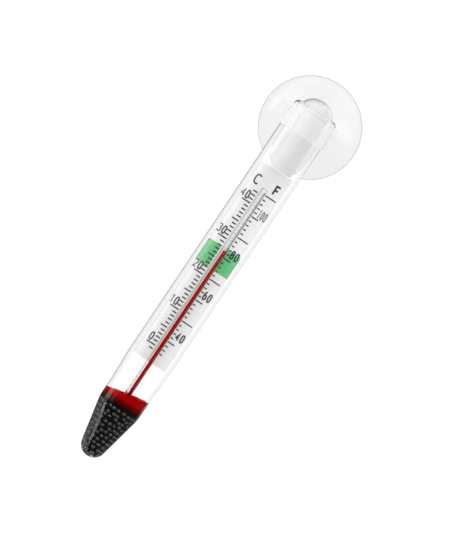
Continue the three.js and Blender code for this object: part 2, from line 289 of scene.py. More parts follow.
def make_world():
    """A white studio. What mirrors show of it has a soft box and dark flags, which shape the clear
    parts."""
    world = bpy.data.worlds.new("studio")
    world.use_nodes = True
    world.cycles.sampling_method = "NONE"
    bpy.context.scene.world = world
    tree = Tree(world.node_tree)
    x, y, z = tree.axes(tree.node("TexCoord").outputs["Generated"])
    angle = tree.spread(tree.math("ARCTAN2", x, y), -math.pi, math.pi)
    above = tree.spread(z, *ABOVE_FADE)
    below = tree.spread(z, *BELOW_FADE)
    overhead = tree.math("MULTIPLY", tree.spread(z, *OVERHEAD_STARTS), tree.spread(y, *OVERHEAD_FRONT))
    overhead = tree.math("MULTIPLY", overhead, tree.spread(z, *OVERHEAD_ENDS))
    path = tree.node("LightPath").outputs

    def round_about(stops):
        return tree.ramp(angle, *[(0.5 + 0.5 * at, grey) for at, grey in stops])

    def in_heights(level, lower):
        upper = tree.mix(above, round_about(level), round_about(ABOVE))
        return tree.mix(below, upper, round_about(lower))

    mirrored = in_heights(MIRRORED, MIRRORED_BELOW)
    inside = tree.mix(overhead, in_heights(INSIDE, INSIDE_BELOW), OVERHEAD)
    within = tree.math("GREATER_THAN", path["Transmission Depth"], 0.5)
    shiny = tree.math("GREATER_THAN", path["Glossy Depth"], 0.5)
    matt = tree.math("GREATER_THAN", path["Diffuse Depth"], 0.5)
    straight = tree.mix(within, BACKDROP, round_about(THROUGH))
    colour = tree.mix(shiny, straight, tree.mix(within, mirrored, inside))
    colour = tree.mix(matt, colour, AMBIENT)
    tree.links.new(colour, tree.nodes["Background"].inputs["Color"])


def spot_round(azimuth, elevation, distance):
    """A place round the middle of the tube. Azimuth 0 is at the camera's side, + to the right."""
    turn, rise = math.radians(azimuth), math.radians(elevation)
    away = Vector((math.sin(turn) * math.cos(rise), -math.cos(turn) * math.cos(rise), math.sin(rise)))
    return Vector((0, TUBE_Y, VIEW_CENTRE_Z)) * MM + away * distance


def area_light(name, start, end, width, power, shines):
    """A flat lamp as long as from start to end, facing the tube. shines says if mirrors show it.
    Its width is in m and its power in W."""
    middle = (start + end) / 2
    facing = (middle - spot_round(0, 0, 0)).normalized()
    along = (end - start).normalized()
    across = facing.cross(along).normalized()
    data = bpy.data.lights.new(name, "AREA")
    data.shape = "RECTANGLE"
    data.size, data.size_y = (end - start).length, width
    data.energy = power
    light = bpy.data.objects.new(name, data)
    turn = Matrix((along, across, along.cross(across))).transposed().to_4x4()
    light.matrix_world = Matrix.Translation(middle) @ turn
    light.visible_camera = False
    light.visible_glossy = light.visible_transmission = shines
    bpy.context.scene.collection.objects.link(light)


def make_lights():
    """Two soft lamps for what is matt, and the thin one for the bright line on the tip."""
    key_ends = spot_round(-50, 45, 1.3), spot_round(-20, 45, 1.3)
    area_light("key", *key_ends, width=0.6, power=0.6, shines=False)
    box_ends = spot_round(-80, -20, 1.0), spot_round(-80, 50, 1.0)
    area_light("left_box", *box_ends, width=0.5, power=2.0, shines=False)
    area_light("low_strip", STRIP_START, STRIP_END, width=0.008, power=0.0045, shines=True)


def make_floor():
    """A wide pale disc well below the thermometer."""
    mesh = bpy.data.meshes.new("floor")
    shape = bmesh.new()
    bmesh.ops.create_circle(shape, cap_ends=True, radius=FLOOR_RADIUS, segments=ROUND)
    shape.to_mesh(mesh)
    shape.free()
    floor = bpy.data.objects.new("floor", mesh)
    floor.location.z = FLOOR_Z
    floor.visible_glossy = floor.visible_transmission = False
    bpy.context.scene.collection.objects.link(floor)
    mesh.materials.append(floor_material())


# ---------------------------------------------------------------- materials


class Tree:
    """Short ways to add nodes to a node tree."""

    def __init__(self, tree):
        self.nodes, self.links = tree.nodes, tree.links

    def node(self, kind):
        """A new shader node, named by its kind."""
        return self.nodes.new("ShaderNode" + kind)

    def put(self, socket, value):
        """Links a socket, or sets a grey or a number."""
        if not isinstance(value, (int, float)):
            self.links.new(value, socket)
        elif socket.type == "RGBA":
            socket.default_value = (value, value, value, 1)
        else:
            socket.default_value = value

    def axes(self, vector):
        """The X, Y and Z of a vector."""
        split = self.node("SeparateXYZ")
        self.links.new(vector, split.inputs[0])
        return split.outputs

    def math(self, operation, a, b=0.0):
        """A sum, product and so on of sockets or numbers. A root takes only a."""
        node = self.node("Math")
        node.operation = operation
        self.put(node.inputs[0], a)
        self.put(node.inputs[1], b)
        return node.outputs[0]

    def spread(self, value, low, high):
        """0 at low and 1 at high."""
        span = self.node("MapRange")
        span.inputs["From Min"].default_value = low
        span.inputs["From Max"].default_value = high
        self.links.new(value, span.inputs["Value"])
        return span.outputs["Result"]

    def squares(self, a, b):
        """a squared plus b squared."""
        return self.math("ADD", self.math("MULTIPLY", a, a), self.math("MULTIPLY", b, b))

    def mix(self, share, a, b):
        """Colour a where share is 0, and b where it is 1."""
        node = self.node("Mix")
        node.data_type = "RGBA"
        self.links.new(share, node.inputs["Factor"])
        colours = [socket for socket in node.inputs if socket.type == "RGBA"]
        self.put(colours[0], a)
        self.put(colours[1], b)
        return next(socket for socket in node.outputs if socket.type == "RGBA")

    def ramp(self, value, *stops):
        """Colours or greys by position, eased in between."""
        node = self.node("ValToRGB")
        node.color_ramp.interpolation = "EASE"
        elements = node.color_ramp.elements
        while len(elements) < len(stops):
            elements.new(0.5)
        for element, (position, colour) in zip(elements, stops):
            element.position = position
            grey = isinstance(colour, (int, float))
            element.color = (colour, colour, colour, 1) if grey else (*colour, 1)
        self.links.new(value, node.inputs["Fac"])
        return node.outputs["Color"]


class Look(Tree):
    """A material being built: a Principled shader, and ways to feed it."""

    def __init__(self, name):
        self.material = bpy.data.materials.new(name)
        self.material.use_nodes = True
        super().__init__(self.material.node_tree)
        self.shader = self.nodes["Principled BSDF"]
        self.place = self.node("TexCoord").outputs["Object"]

    def set(self, **values):
        """Numbers straight on the shader's own sockets."""
        for name, value in values.items():
            self.shader.inputs[name.replace("_", " ")].default_value = value
        return self

    def noise(self, scale, detail=3.0, roughness=0.5, stretch=None):
        """Noise in object space, scale in features per metre."""
        node = self.node("TexNoise")
        node.inputs["Scale"].default_value = scale
        node.inputs["Detail"].default_value = detail
        node.inputs["Roughness"].default_value = roughness
        place = self.place
        if stretch:
            mapping = self.node("Mapping")
            mapping.inputs["Scale"].default_value = stretch
            self.links.new(place, mapping.inputs["Vector"])
            place = mapping.outputs["Vector"]
        self.links.new(place, node.inputs["Vector"])
        return node.outputs["Fac"]

    def height(self, low, high):
        """0 at the height low and 1 at high, in mm."""
        return self.spread(self.axes(self.place)["Z"], low * MM, high * MM)

    def feed(self, name, value):
        """Links a value that varies over the surface to one of the shader's sockets."""
        self.links.new(value, self.shader.inputs[name])
        return self

    def light_passes(self):
        """Lets light straight through, from lamps and from the room, so that it reaches what is inside."""
        path = self.node("LightPath")
        clear = self.node("BsdfTransparent")
        mix = self.node("MixShader")
        lighting = self.math("MAXIMUM", path.outputs["Is Shadow Ray"], path.outputs["Is Diffuse Ray"])
        self.links.new(lighting, mix.inputs[0])
        self.links.new(self.shader.outputs[0], mix.inputs[1])
        self.links.new(clear.outputs[0], mix.inputs[2])
        self.links.new(mix.outputs[0], self.nodes["Material Output"].inputs["Surface"])
        return self

    def bump(self, value, depth):
        """Relief as deep as depth, in mm."""
        node = self.node("Bump")
        node.inputs["Strength"].default_value = 1.0
        node.inputs["Distance"].default_value = depth * MM
        self.links.new(value, node.inputs["Height"])
        self.links.new(node.outputs["Normal"], self.shader.inputs["Normal"])
        return self


def floor_material():
    """Matt pale paper, barely mottled."""
    look = Look("pale_floor").set(Roughness=0.9)
    look.feed("Base Color", look.ramp(look.noise(40), (0.3, 0.86), (0.7, 0.88)))
    return look.material


def glass_material():
    """Drawn glass: clear, with faint streaks along its length."""
    look = Look("drawn_glass").set(IOR=GLASS_IOR, Transmission_Weight=1.0, Roughness=0.0)
    streaks = look.noise(900, stretch=(1, 1, 0.03))
    look.feed("Base Color", look.ramp(streaks, (0.3, (0.985, 0.99, 0.99)), (0.7, (1, 1, 1))))
    return look.light_passes().material


def capillary_material():
    """The same drawn glass, with a thin painted dark line down its left flank, painted shade for that edge
    of the glass. The right side of its bore has painted shade too, which shows where the spirit has not
    filled it."""
    look = Look("capillary_glass").set(IOR=GLASS_IOR, Transmission_Weight=1.0, Roughness=0.0)
    streaks = look.ramp(look.noise(3000, stretch=(1, 1, 0.02)), (0.3, 0.97), (0.7, 1.0))
    x, y, _ = look.axes(look.place)
    across = look.spread(x, -CAPILLARY_RADIUS * MM, CAPILLARY_RADIUS * MM)
    # Painted shade: a thin dark line down the left flank, for the dark edge of the glass.
    painted_flank_line = look.ramp(across, (0.1, 1.0), (0.17, 0.4), (0.27, 0.4), (0.34, 1.0))
    off_x = look.math("SUBTRACT", x, BORE_SHIFT_X * MM)
    off_y = look.math("SUBTRACT", y, TUBE_Y * MM)
    bore_wall = look.math("LESS_THAN", look.squares(off_x, off_y), (BORE_WALL * MM) ** 2)
    # Painted shade on the right side of the bore's wall, for the dark look of the empty bore.
    shade_start, shade_full = PAINTED_BORE_SHADE_X
    painted_bore_shade = look.math("MULTIPLY", bore_wall, look.spread(x, shade_start * MM, shade_full * MM))
    look.feed("Base Color", look.mix(painted_bore_shade, look.math("MULTIPLY", streaks, painted_flank_line), 0.25))
    return look.light_passes().material


def vinyl(name, ior, clearness, roughness):
    """Soft clear vinyl, a little unevenly polished. clearness is the share of light that goes through."""
    look = Look(name).set(IOR=ior, Transmission_Weight=clearness)
    polish = look.ramp(look.noise(400), (0.3, roughness - 0.02), (0.7, roughness + 0.04))
    return look.feed("Roughness", polish)


def hazy(look, shade):
    """A shade that varies slightly, as in a thick clear moulding."""
    return look.ramp(look.noise(120, detail=2), (0.3, shade - 0.01), (0.7, shade + 0.01))


def cup_material():
    """The cup's vinyl, with painted shade round its rim, for the darker edge where one looks through it
    edge on.
    """
    look = vinyl("cup_vinyl", ior=1.45, clearness=0.9, roughness=0.1)
    x, _, z = look.axes(look.place)
    radius = look.math("SQRT", look.squares(x, z))
    rim_start, rim_full = (CUP_RADIUS - inwards for inwards in RIM_PAINTED_SHADE)
    # Painted shade: the base colour darkens towards the rim.
    painted_rim_shade = look.spread(radius, rim_start * MM, rim_full * MM)
    look.feed("Base Color", look.mix(painted_rim_shade, hazy(look, 0.86), 0.62))
    return look.light_passes().material


def collar_material():
    """The collar's vinyl, which is clearer. Its low IOR bends light as little as vinyl that clings to
    glass."""
    look = vinyl("collar_vinyl", ior=1.04, clearness=0.8, roughness=0.08)
    look.feed("Base Color", hazy(look, 0.985))
    return look.light_passes().material


def card_material():
    """White card with a faint paper grain."""
    look = Look("white_card").set(Roughness=0.62)
    grain = look.noise(5200, detail=5)
    look.feed("Base Color", look.ramp(grain, (0.3, (0.92, 0.92, 0.918)), (0.7, (0.945, 0.945, 0.943))))
    return look.bump(grain, 0.002).material


def ink_material(name, colour, worn):
    """Printed ink: nearly even, and a little thinner in specks, which have the worn colour."""
    look = Look(name).set(Roughness=0.5)
    specks = look.noise(9000, detail=4)
    look.feed("Base Color", look.ramp(specks, (0.35, colour), (0.8, worn)))
    return look.material


def foam_material():
    """Pale foam with fine pores."""
    look = Look("white_foam").set(Roughness=0.85)
    pores = look.noise(2600, detail=4)
    look.feed("Base Color", look.ramp(pores, (0.35, 0.8), (0.65, 0.85)))
    return look.bump(pores, 0.03).material


def spirit_material():
    """Red dyed spirit. It has no shine of its own, as it fills the glass round it."""
    look = Look("red_spirit").set(Roughness=0.3, Specular_IOR_Level=0.0)
    tint = look.noise(1500)
    look.feed("Base Color", look.ramp(tint, (0.3, (0.27, 0.0, 0.0)), (0.7, (0.32, 0.0, 0.0))))
    return look.material


def wax_material():
    """Deep red wax that turns black towards the shot under it."""
    look = Look("red_wax").set(Roughness=0.4, Specular_IOR_Level=0.0)
    mottle = look.math("MULTIPLY", look.noise(700, detail=4), 0.25)
    level = look.math("ADD", mottle, look.height(*WAX_BLACK_TO_RED))
    stops = (0.18, (0.004, 0.002, 0.002)), (0.5, (0.09, 0.0, 0.0)), (0.85, (0.36, 0.0, 0.0))
    look.feed("Base Color", look.ramp(level, *stops))
    return look.bump(look.noise(900), 0.03).material


def shot_material():
    """Blackened iron shot, each ball with its own scuffs."""
    look = Look("black_shot").set(Specular_IOR_Level=1.0, IOR=1.8)
    scuffs = look.noise(1800, detail=4)
    look.feed("Base Color", look.ramp(scuffs, (0.35, (0.012, 0.012, 0.014)), (0.7, (0.03, 0.03, 0.034))))
    look.feed("Roughness", look.ramp(scuffs, (0.3, 0.18), (0.7, 0.26)))
    return look.bump(scuffs, 0.0005).material


def glue_material():
    """Black glue that holds the shot."""
    look = Look("black_glue").set(Roughness=0.5, Specular_IOR_Level=0.1)
    look.feed("Base Color", look.ramp(look.noise(1200), (0.3, 0.001), (0.7, 0.004)))
    return look.material


# ---------------------------------------------------------------- mesh helpers


def finish_piece(name, mesh, material, body=None, nodes=()):
    """Makes a mesh a piece of the object: smooth, with its material, its body and what it stands for."""
    mesh.polygons.foreach_set("use_smooth", [True] * len(mesh.polygons))
    mesh.set_sharp_from_angle(angle=SHARP_EDGE)
    mesh.materials.append(material)
    piece = bpy.data.objects.new(name, mesh)
    bpy.context.scene.collection.objects.link(piece)
    if body:
        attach(piece, body)
    if nodes:
        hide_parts(*nodes)
    return piece


def mesh_of(name, shape, hollow=()):
    """The bmesh in mm as a mesh in metres, faces out, and those of a hollow inside facing into it."""
    bmesh.ops.recalc_face_normals(shape, faces=shape.faces)
    bmesh.ops.reverse_faces(shape, faces=hollow)
    bmesh.ops.scale(shape, vec=(MM, MM, MM), verts=shape.verts)
    mesh = bpy.data.meshes.new(name)
    shape.to_mesh(mesh)
    shape.free()
    return mesh


def lathe(shape, profile, sides, axis="Z", centre=(0.0, 0.0)):
    """Turns [radius, height] points about Z through centre, or about Y, as one surface."""
    rings = []
    for r, h in profile:
        count = sides if r > TOUCHING else 1
        ring = []
        for i in range(count):
            a = 2 * math.pi * i / sides
            u, v = r * math.cos(a), r * math.sin(a)
            spot = (centre[0] + u, centre[1] + v, h) if axis == "Z" else (u, h, v)
            ring.append(shape.verts.new(spot))
        rings.append(ring)
    for low, high in zip(rings, rings[1:]):
        join_rings(shape, low, high)


def join_rings(shape, low, high):
    """Faces between two rings of points. Either may be a single point."""
    sides = max(len(low), len(high))
    for i in range(sides):
        j = (i + 1) % sides
        corners = [low[i % len(low)], low[j % len(low)], high[j % len(high)], high[i % len(high)]]
        loop = list(dict.fromkeys(corners))
        if len(loop) > 2:
            shape.faces.new(loop)


def rod(radius, low, high):
    """The profile of a plain cylinder."""
    return [(0, low), (radius, low), (radius, high), (0, high)]


def eased(points, radius, steps=4):
    """The same line with each inner corner rounded off."""
    out = [points[0]]
    for before, corner, after in zip(points, points[1:], points[2:]):
        b, c, a = Vector(before), Vector(corner), Vector(after)
        cut = min(radius, (b - c).length / 2, (a - c).length / 2)
        start = c + (b - c).normalized() * cut
        end = c + (a - c).normalized() * cut
        for i in range(steps + 1):
            t = i / steps
            out.append(tuple(start * (1 - t) ** 2 + c * (2 * t * (1 - t)) + end * t**2))
    out.append(points[-1])
    return out


def arc(radius, centre, from_deg, to_deg, steps, height=None):
    """[radius, height] points on an oval round a point on the axis, a circle unless height is given."""
    height = height or radius
    angles = [math.radians(from_deg + (to_deg - from_deg) * i / steps) for i in range(steps + 1)]
    return [(max(0.0, radius * math.cos(a)), centre + height * math.sin(a)) for a in angles]


def smooth(t):
    """From 0 to 1 as t goes from 0 to 1, level at both ends."""
    t = min(1.0, max(0.0, t))
    return t * t * (3 - 2 * t)


# ---------------------------------------------------------------- suction cup and collar


def bowl(radius, edge, depth):
    """[radius, height] points from the axis to the edge of a round bowl that opens towards +Y."""
    radii = [radius * i / BELL_RINGS for i in range(BELL_RINGS + 1)]
    return [(r, -(edge + depth * (1 - (r / radius) ** 2))) for r in radii]


def suction_cup():
    """Bell, neck and knob as the one moulding that they really are."""
    crown = [(r, KNOB_EDGE + h) for r, h in arc(KNOB_RADIUS, 0, -90, 0, 8, KNOB_EDGE - KNOB_FRONT)]
    knob = [
        *crown,
        (KNOB_RADIUS, KNOB_BACK),
        (NECK_RADIUS, KNOB_BACK),
        (NECK_RADIUS, -CUP_HEIGHT + NECK_SINK),
    ]
    back = bowl(CUP_RADIUS - LIP_WIDTH, LIP_THICKNESS, CUP_HEIGHT - LIP_THICKNESS)
    back = [p for p in back if p[0] > NECK_RADIUS]
    lip = [back[-1], (CUP_RADIUS, -LIP_EDGE), (CUP_RADIUS, 0), (HOLLOW_RADIUS, 0)]
    hollow = bowl(HOLLOW_RADIUS, 0, HOLLOW_DEPTH)[::-1]
    profile = eased(knob, KNOB_EASE) + back[:-1] + eased(lip, LIP_EASE)[:-1] + hollow
    shape = bmesh.new()
    lathe(shape, profile, ROUND, axis="Y")
    mesh = mesh_of("suction_cup", shape)
    nodes = ("cup_bell", "cup_knob")
    cup = finish_piece("suction_cup", mesh, cup_material(), nodes=nodes)
    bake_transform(cup)


def cut(target, other, operation):
    """target joined with, or cut by, other, as target's new mesh."""
    step = target.modifiers.new("cut", "BOOLEAN")
    step.operation = operation
    step.solver = "EXACT"
    step.object = other
    graph = bpy.context.evaluated_depsgraph_get()
    made = bpy.data.meshes.new_from_object(target.evaluated_get(graph))
    target.modifiers.clear()
    target.data = made
    bpy.data.objects.remove(other)


def loose(name, profile, sides, axis="Z", centre=(0.0, 0.0)):
    """A turned solid that a boolean uses up."""
    shape = bmesh.new()
    lathe(shape, profile, sides, axis, centre)
    made = bpy.data.objects.new(name, mesh_of(name, shape))
    bpy.context.scene.collection.objects.link(made)
    return made


def collar():
    """The ring round the tube and the boss behind it, with its socket for the knob."""
    half = COLLAR_HEIGHT / 2
    centre = (0.0, TUBE_Y)
    drum = eased(rod(COLLAR_RADIUS, -half, half), COLLAR_EASE, 6)
    body = loose("collar_body", drum, ROUND, centre=centre)
    boss = eased(rod(BOSS_RADIUS, TUBE_Y + BOSS_OVERLAP, BOSS_BACK), BOSS_EASE, 6)
    cut(body, loose("boss", boss, ROUND, axis="Y"), "UNION")
    bore = rod(COLLAR_BORE, -CUTTER_REACH, CUTTER_REACH)
    cut(body, loose("bore", bore, ROUND, centre=centre), "DIFFERENCE")
    socket = rod(SOCKET_RADIUS, TUBE_Y, SOCKET_FACE)
    cut(body, loose("socket", socket, ROUND, axis="Y"), "DIFFERENCE")
    neck_hole = rod(NECK_HOLE, TUBE_Y, 0)
    cut(body, loose("neck_hole", neck_hole, ROUND, axis="Y"), "DIFFERENCE")
    mesh = body.data
    bpy.data.objects.remove(body)
    finish_piece("tube_collar", mesh, collar_material(), "collar", ("collar",))


# ---------------------------------------------------------------- glass envelope


def envelope_side(inset):
    """[radius, height] points of the envelope from its tip to the top of its barrel."""
    tip, waist, barrel = (r - inset for r in (TIP_RADIUS, WAIST_RADIUS, BARREL_RADIUS))
    centre = TIP_BOTTOM + TIP_RADIUS
    side = arc(tip, centre, -90, -math.degrees(CONE_HALF_ANGLE), 16)
    foot, foot_z = side[-1]
    hip = (waist, foot_z + (waist - foot) / math.tan(CONE_HALF_ANGLE))
    corner = eased([side[-1], hip, (waist, WAIST_TOP)], HIP_EASE, 6)
    rings = 12
    for i in range(1, rings):
        share = i / rings
        side.append(tuple(Vector((foot, foot_z)).lerp(Vector(corner[1]), share)))
    side += corner[1:]
    steps = 12
    for i in range(1, steps + 1):
        t = i / steps
        r = waist + (barrel - waist) * smooth(t)
        side.append((r, WAIST_TOP + (BARREL_BOTTOM - WAIST_TOP) * t))
    side.append((barrel, BARREL_TOP))
    return side


def dome_side(inset):
    """[radius, height] points from the top of the barrel over the shoulder to the apex."""
    thinner = inset * DOME_WALL / GLASS_WALL
    cap = CAP_RADIUS - thinner
    shoulder = BARREL_RADIUS - SHOULDER_WIDTH - thinner
    centre = DOME_TOP - CAP_RADIUS
    crease = math.acos(shoulder / cap)
    height = min(SHOULDER_HEIGHT, centre + cap * math.sin(crease) - BARREL_TOP)
    steps = 10
    side = []
    for i in range(1, steps):
        angle = math.pi / 2 * i / steps
        reach = BARREL_RADIUS - inset - shoulder
        spot = shoulder + reach * math.cos(angle), BARREL_TOP + height * math.sin(angle)
        side.append(spot)
    return side + arc(cap, centre, math.degrees(crease), 90, 20)


def glass_envelope():
    """One sealed glass piece. Its hollow ends inside the wax: below that the shot is fused in glue as
    clear as the glass, so it is seen right out to the edge."""
    outside = envelope_side(0) + dome_side(0)
    inside = [p for p in envelope_side(GLASS_WALL) if p[1] > CAVITY_BOTTOM] + dome_side(GLASS_WALL)
    wall = inside[0][0]
    bed = [(0, CAVITY_BOTTOM), (wall - CAVITY_EASE, CAVITY_BOTTOM), (wall, CAVITY_BOTTOM + CAVITY_EASE)]
    shape = bmesh.new()
    lathe(shape, outside, ROUND, centre=(0, TUBE_Y))
    outer = len(shape.faces)
    lathe(shape, bed + inside, ROUND, centre=(0, TUBE_Y))
    shape.faces.ensure_lookup_table()
    mesh = mesh_of("glass_envelope", shape, hollow=shape.faces[outer:])
    nodes = ("envelope_tube", "envelope_dome")
    finish_piece("glass_envelope", mesh, glass_material(), "tube", nodes)


# ---------------------------------------------------------------- scale card and print


def card_front(x):
    """How far the card's printed face lies behind the tube's axis."""
    return CARD_BEHIND_AXIS - CARD_BOW * ((x - CARD_SHIFT_X) / (CARD_WIDTH / 2)) ** 2


def strip(shape, x0, x1, z0, z1, lift, thickness, step=0.5):
    """A thin plate that follows the card's bow, its front face lift in front of the card."""
    count = max(1, math.ceil((x1 - x0) / step))
    rows = []
    for i in range(count + 1):
        x = x0 + (x1 - x0) * i / count
        front = TUBE_Y + card_front(x) - lift
        corners = [(x, front, z0), (x, front, z1), (x, front + thickness, z1), (x, front + thickness, z0)]
        rows.append([shape.verts.new(c) for c in corners])
    for a, b in zip(rows, rows[1:]):
        join_rings(shape, a, b)
    shape.faces.new(rows[0])
    shape.faces.new(rows[-1])


def scale_card():
    """The white card, bowed a little so that it stands in the tube."""
    left, right = CARD_SHIFT_X - CARD_WIDTH / 2, CARD_SHIFT_X + CARD_WIDTH / 2
    shape = bmesh.new()
    strip(shape, left, right, CARD_BOTTOM, CARD_TOP, 0, CARD_THICKNESS, step=0.25)
    mesh = mesh_of("printed_card", shape)
    finish_piece("printed_card", mesh, card_material(), "tube", ("scale_card",))


def comfort_band():
    """The green range, printed on both sides of the capillary."""
    shape = bmesh.new()
    for x0, x1 in BAND_SPANS:
        strip(shape, x0, x1, BAND_BOTTOM, BAND_TOP, PRINT_LIFT, PRINT_LIFT / 2)
    mesh = mesh_of("comfort_band", shape)
    green = ink_material("green_ink", *GREEN_INK)
    finish_piece("comfort_band", mesh, green, "tube")


def tick(shape, left, right, z, half):
    """One line of a scale. half is half its thickness."""
    strip(shape, left, right, z - half, z + half, PRINT_LIFT + INK_THICKNESS, INK_THICKNESS)


def scale_ticks():
    """Every degree C on the left and every second degree F on the right."""
    shape = bmesh.new()
    for degree in C_TICKS:
        left = C_TICK_TEN if degree % 10 == 0 else C_TICK_FIVE if degree % 5 == 0 else C_TICK
        tick(shape, left, C_TICK_START, C_ZERO + C_STEP * degree, C_TICK_HALF)
    for degree in F_TICKS:
        right = F_TICK_BETWEEN if degree % 20 == 10 else F_TICK_TWENTY if degree % 20 == 0 else F_TICK
        tick(shape, F_TICK_START, right, F_ZERO + F_STEP * degree, F_TICK_HALF)
    mesh = mesh_of("scale_ticks", shape)
    finish_piece("scale_ticks", mesh, ink_material("black_ink", *BLACK_INK), "tube")


def oval(x, z, wide, high, from_deg, to_deg, steps=16):
    """Points on a part of a squarish oval round x, z."""
    points = []
    for i in range(steps + 1):
        a = math.radians(from_deg + (to_deg - from_deg) * i / steps)
        c, s = math.cos(a), math.sin(a)
        across = math.copysign(abs(c) ** SQUARISH, c)
        upwards = math.copysign(abs(s) ** SQUARISH, s)
        points.append((x + wide * across, z + high * upwards))
    return points


# Strokes of each figure in a box from 0 to 1, as a pen draws them.
FIGURES = {
    "0": [oval(0.5, 0.5, 0.5, 0.5, 0, 360, 32)],
    "1": [[(0.2, 0.8), (0.6, 1), (0.6, 0)]],
    "2": [oval(0.5, 0.74, 0.48, 0.26, 170, -20, 14) + [(0.02, 0), (1, 0)]],
    "3": [oval(0.46, 0.76, 0.46, 0.24, 150, -90, 14), oval(0.46, 0.27, 0.54, 0.27, 90, -160, 14)],
    "4": [[(0.75, 0), (0.75, 1), (0, 0.3), (1, 0.3)]],
    "6": [oval(0.5, 0.3, 0.5, 0.3, 0, 360, 24), oval(0.75, 0.35, 0.75, 0.65, 180, 95, 10)],
    "8": [oval(0.5, 0.77, 0.44, 0.23, 0, 360, 24), oval(0.5, 0.28, 0.5, 0.28, 0, 360, 24)],
    "C": [oval(0.5, 0.5, 0.5, 0.5, 50, 310, 24)],
    "F": [[(0, 0), (0, 1), (1, 1)], [(0, 0.52), (0.85, 0.52)]],
}


def pen_stroke(shape, points, pen, lift):
    """A flat line of the pen's width through x, z points on the card."""
    rows = []
    closed = math.dist(points[0], points[-1]) < TOUCHING
    for i, (x, z) in enumerate(points):
        before = points[i - 1] if i else (points[-2] if closed else None)
        after = points[i + 1] if i + 1 < len(points) else (points[1] if closed else None)
        into = Vector((x - before[0], z - before[1])).normalized() if before else None
        out = Vector((after[0] - x, after[1] - z)).normalized() if after else None
        ahead = ((into or out) + (out or into)).normalized()
        reach = pen / 2 / max(MITRE_LIMIT, ahead.dot(out or into))
        aside = Vector((-ahead.y, ahead.x)) * reach
        row = []
        for side, depth in ((1, 0), (-1, 0), (-1, INK_THICKNESS), (1, INK_THICKNESS)):
            u, w = x + side * aside.x, z + side * aside.y
            row.append(shape.verts.new((u, TUBE_Y + card_front(u) - lift + depth, w)))
        rows.append(row)
    for a, b in zip(rows, rows[1:]):
        join_rings(shape, a, b)
    if not closed:
        shape.faces.new(rows[0])
        shape.faces.new(rows[-1])


def write(shape, text, z, x, width, height, pen):
    """Figures of one width and height side by side, in mm, the first one's lower left corner at x, z.
    Each stroke lies a little above the last, so that crossing strokes share no face."""
    left, foot = x + pen / 2, z + pen / 2
    for figure in text:
        for layer, stroke in enumerate(FIGURES[figure], start=1):
            points = [(left + u * (width - pen), foot + w * (height - pen)) for u, w in stroke]
            pen_stroke(shape, points, pen, PRINT_LIFT + INK_THICKNESS * (1 + STROKE_LIFT * layer))
        left += width + FIGURE_GAP


def scale_figures():
    """Tens of degrees C, twenties of degrees F, and the two unit letters."""
    shape = bmesh.new()
    for degree in (0, 10, 20, 30, 40):
        lettering = C_FIGURES if degree else C_NOUGHT
        write(shape, str(degree), C_ZERO + C_STEP * degree + C_FIGURE_RISE, **lettering)
    for degree in (40, 60, 80, 100):
        lettering = F_FIGURES if degree < 100 else F_HUNDRED
        rise = F_FIGURE_RISE + F_FIGURE_DRIFT * (100 - degree)
        write(shape, str(degree), F_ZERO + F_STEP * degree + rise, **lettering)
    write(shape, "C", LETTERS_Z, **C_LETTER)
    write(shape, "F", LETTERS_Z, **F_LETTER)
    mesh = mesh_of("scale_figures", shape)
    finish_piece("scale_figures", mesh, ink_material("figure_ink", *BLACK_INK), "tube")


# ---------------------------------------------------------------- capillary and spirit


def capillary():
    """Glass stem with a rounded top and an off-centre bore, open at its foot."""
    crown = arc(CAPILLARY_RADIUS, CAPILLARY_TOP - CAPILLARY_CROWN, 0, 90, 8, CAPILLARY_CROWN)
    outside = [(CAPILLARY_RADIUS, CAPILLARY_BOTTOM)] + crown
    bore_end = arc(BORE_RADIUS, CAPILLARY_TOP - BORE_END - BORE_RADIUS, 0, 90, 6)
    bore = [(BORE_RADIUS, CAPILLARY_BOTTOM)] + bore_end
    shape = bmesh.new()
    lathe(shape, outside, SMALL_ROUND, centre=(0, TUBE_Y))
    lathe(shape, bore, SMALL_ROUND, centre=(BORE_SHIFT_X, TUBE_Y))
    foot = [e for e in shape.edges if all(abs(v.co.z - CAPILLARY_BOTTOM) < TOUCHING for v in e.verts)]
    bmesh.ops.bridge_loops(shape, edges=foot)
    mesh = mesh_of("capillary_stem", shape)
    finish_piece("capillary_stem", mesh, capillary_material(), "tube", ("capillary",))


def spirit_column():
    """Thread and meniscus in one. It fills the bore."""
    span = SPIRIT_TOP - SPIRIT_RADIUS - SPIRIT_BOTTOM
    wall = [(SPIRIT_RADIUS, SPIRIT_BOTTOM + span * i / SPIRIT_RINGS) for i in range(SPIRIT_RINGS + 1)]
    top = arc(SPIRIT_RADIUS, SPIRIT_TOP - SPIRIT_RADIUS, 0, 90, 6)[1:]
    shape = bmesh.new()
    lathe(shape, [(0, SPIRIT_BOTTOM)] + wall + top, THREAD_ROUND, centre=(BORE_SHIFT_X, TUBE_Y))
    mesh = mesh_of("spirit_column", shape)
    nodes = ("spirit_thread", "spirit_meniscus")
    column = finish_piece("spirit_column", mesh, spirit_material(), nodes=nodes)
    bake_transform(column)


# ---------------------------------------------------------------- plug, wax and ballast


def spacer_plug():
    """A foam plug with a blunt round top. It leans against the right of the tube."""
    foot = CARD_TOP + PLUG_GAP
    height = PLUG_TOP - PLUG_CROWN - foot
    wall = [(PLUG_RADIUS, foot + height * i / PLUG_RINGS) for i in range(PLUG_RINGS + 1)]
    profile = eased([(0, foot), (PLUG_RADIUS, foot), wall[1]], PLUG_EASE) + wall[2:]
    for i in range(1, PLUG_CROWN_RINGS):
        a = math.pi / 2 * i / PLUG_CROWN_RINGS
        r = PLUG_RADIUS * math.cos(a) ** PLUG_FULLNESS
        profile.append((r, PLUG_TOP - PLUG_CROWN * (1 - math.sin(a))))
    profile.append((0, PLUG_TOP))
    shape = bmesh.new()
    lathe(shape, profile, MIDDLING_ROUND, centre=(PLUG_SHIFT_X, TUBE_Y))
    mesh = mesh_of("foam_plug", shape)
    finish_piece("foam_plug", mesh, foam_material(), "tube", ("spacer_plug",))


